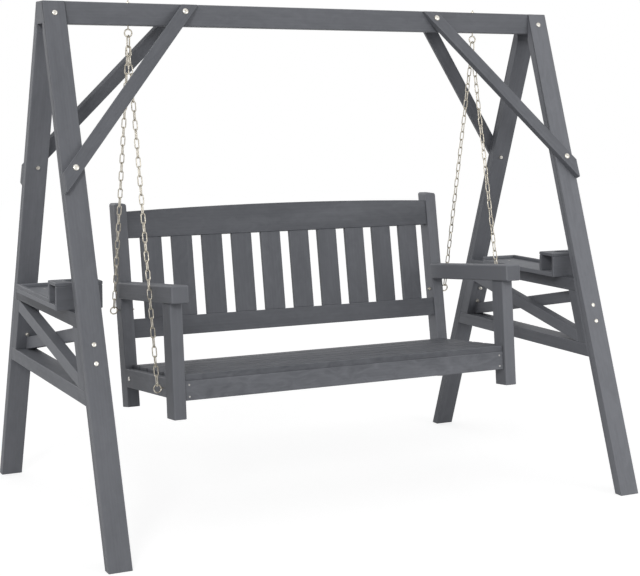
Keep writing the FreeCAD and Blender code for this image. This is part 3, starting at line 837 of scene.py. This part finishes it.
# Chains, and the eye bolts on the bench
front_eye = in_bench(chain_x, front_eye_y, front_eye_z)
rear_eye = in_back(chain_x, rear_eye_y, rear_eye_z)
eye_parts = []
for end_name, eye, thickness in (("front", front_eye, apron_thickness), ("rear", rear_eye, post_width)):
    links, count, slant = chain_links(eye)
    ring = turn_x(eye_ring, slant) + eye
    for side_name, side in SIDES.items():
        node = "chain_" + end_name + "_" + side_name
        mirror = np.array((side, 1, 1))
        link_faces = loop_faces(2 * link_bend_steps, link_sides, count)
        ring_quads = eye_faces
        if side < 0:
            link_faces, ring_quads = turned_over(link_faces), turned_over(ring_quads)
        new_piece(node + "_links", links * mirror, link_faces, chain_zinc, "bench", (node,))
        eye_parts.append((ring * mirror, ring_quads))
        inner = np.array((side * (bench_half - thickness), eye[1], eye[2]))
        grip = thickness + eye_standoff + seat_eye_root
        shank = [
            (seat_eye_tip, -eye_thread_end), (eye_wire, eye_tip_bevel - eye_thread_end), (eye_wire, grip)]
        eye_parts.append(turned(inner, X * side, shank, shank_sides))
        eye_parts.append(hex_nut(inner, -X * side, eye_nut_width, eye_nut_height))
metal_group("seat_eye_bolts", eye_parts, chain_zinc, "bench", ("seat_eyes",))

# Small screws that show in the front apron, the side aprons and the tray floors
front_parts, side_parts, tray_parts = [], [], []
for side_name, side in SIDES.items():
    for z in front_screw_heights:
        at = in_bench(side * front_screw_x, apron_setback, z)
        front_parts.append(flat_screw(at, -bench_back, front_screw_radius))
    at = in_bench(side * bench_half, side_screw_y, side_screw_z)
    side_parts.append(coach_head(at, X * side, side_screw_length, side_head))
    floor_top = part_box("tray_floor_" + side_name)[1][2]
    for end in ENDS.values():
        tray_parts.append(flat_screw((side * leg_x, end * tray_screw_y, floor_top), Z, tray_screw_radius))
metal_group("front_apron_screws", front_parts, small_screw_zinc, "bench", ())
metal_group("side_apron_screws", side_parts, screw_zinc, "bench", ())
metal_group("tray_screws", tray_parts, small_screw_zinc, "stand", ())

# Floor, light and camera


def seen(tree):
    """One for rays of the camera, of reflections and of clear surfaces, and nought for the others."""
    ray = add_node(tree, "ShaderNodeLightPath").outputs
    direct = math_of(tree, "MAXIMUM", ray["Is Camera Ray"], ray["Is Glossy Ray"])
    return math_of(tree, "MAXIMUM", direct, ray["Is Transmission Ray"])


def studio_floor():
    """Wide pale floor: white to the camera and in reflections, darkened only where the swing shades it."""
    mesh = bpy.data.meshes.new("studio_floor")
    reach, glow = 14.0, 0.76
    corners = [(-reach, -reach, 0), (reach, -reach, 0), (reach, reach, 0), (-reach, reach, 0)]
    mesh.from_pydata(corners, [], [(0, 1, 2, 3)])
    floor = bpy.data.objects.new("studio_floor", mesh)
    bpy.context.scene.collection.objects.link(floor)
    material, tree, shader = new_material("pale_floor")
    shader.inputs["Base Color"].default_value = (0.42, 0.42, 0.42, 1)
    shader.inputs["Roughness"].default_value = 0.9
    shader.inputs["Specular IOR Level"].default_value = 0.1
    shader.inputs["Emission Color"].default_value = (1, 1, 1, 1)
    tree.links.new(math_of(tree, "MULTIPLY", seen(tree), glow), shader.inputs["Emission Strength"])
    mesh.materials.append(material)


def studio_world():
    """Soft even light from all round, seen as white by the camera and in reflections."""
    world = bpy.data.worlds.new("studio")
    world.use_nodes = True
    bpy.context.scene.world = world
    tree = world.node_tree
    background = next(node for node in tree.nodes if node.type == "BACKGROUND")
    background.inputs["Color"].default_value = (1, 1, 1, 1)
    light = 0.50
    tree.links.new(sum_of(tree, light, seen(tree), 1 - light), background.inputs["Strength"])


def soft_box(name, at, size, power):
    """Square soft light at a point, turned towards the middle of the swing."""
    light = bpy.data.lights.new(name, "AREA")
    light.shape = "SQUARE"
    light.size = size
    light.energy = power
    lamp = bpy.data.objects.new(name, light)
    bpy.context.scene.collection.objects.link(lamp)
    aim = (0, 0, 0.8)
    back = unit(np.subtract(at, aim))
    right = unit(np.cross(Z, back))
    up = np.cross(back, right)
    turn_and_place = np.eye(4)
    turn_and_place[:3] = np.stack([right, up, back, at], axis=1)
    lamp.matrix_world = Matrix(turn_and_place.tolist())


def photo_camera():
    """Camera at the photograph's place, with the focal length and the centre of view in its pixels."""
    width, height = 640, 576
    focal = 1453.8
    centre_x, centre_y = 321.455, 222.541
    downward, turned_right = 5.09, 26.48
    place = (-2.330, -4.769, 1.446)
    data = bpy.data.cameras.new("photo_camera")
    data.sensor_width = 36.0
    data.lens = focal / width * data.sensor_width
    data.shift_x = (width / 2 - centre_x) / width
    data.shift_y = (centre_y - height / 2) / width
    camera = bpy.data.objects.new("photo_camera", data)
    bpy.context.scene.collection.objects.link(camera)
    camera.location = place
    camera.rotation_euler = (math.radians(90 - downward), 0, -math.radians(turned_right))
    bpy.context.scene.camera = camera


studio_floor()
studio_world()
soft_box("left_key", (-7.0, -9.6, 6.6), 2.6, 400)
soft_box("right_fill", (3.0, -4.8, 2.2), 3.0, 52)
soft_box("rear_fill", (-1.6, 9.4, 2.6), 5.0, 110)
photo_camera()
bpy.context.scene.view_settings.view_transform = "Standard"
